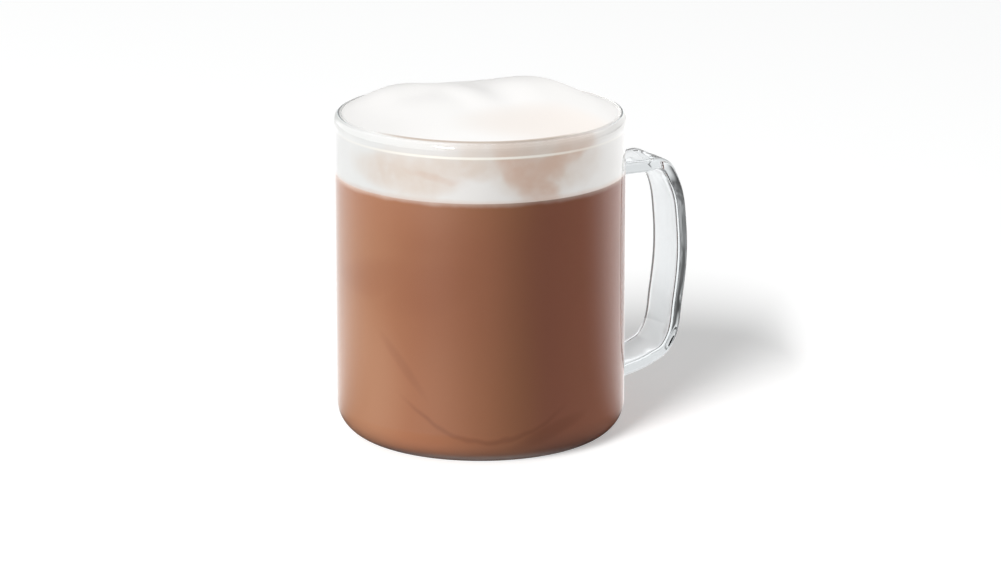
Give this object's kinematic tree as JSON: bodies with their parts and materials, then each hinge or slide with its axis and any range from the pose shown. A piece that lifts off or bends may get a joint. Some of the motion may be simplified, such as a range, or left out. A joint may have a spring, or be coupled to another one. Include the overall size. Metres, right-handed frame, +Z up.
{
  "type": "mug of hot chocolate",
  "caption": "Straight clear glass mug with a flat ribbon handle, filled with hot chocolate and topped by a low dome of milk foam.",
  "frame": {"origin": "centre of the mug's flat base, on the mug's axis", "axes": "+Z up along the mug's axis, +X towards the handle"},
  "size_m": [0.1099, 0.0868, 0.1056],
  "materials": {
    "clear_glass": "clear polished glass",
    "hot_chocolate": "milky brown drink",
    "milk_foam": "fine matte milk foam"
  },
  "bodies": {
    "root": {"glass_mug": "clear_glass", "hot_chocolate": "hot_chocolate", "milk_foam": "milk_foam"}
  },
  "joints": []
}
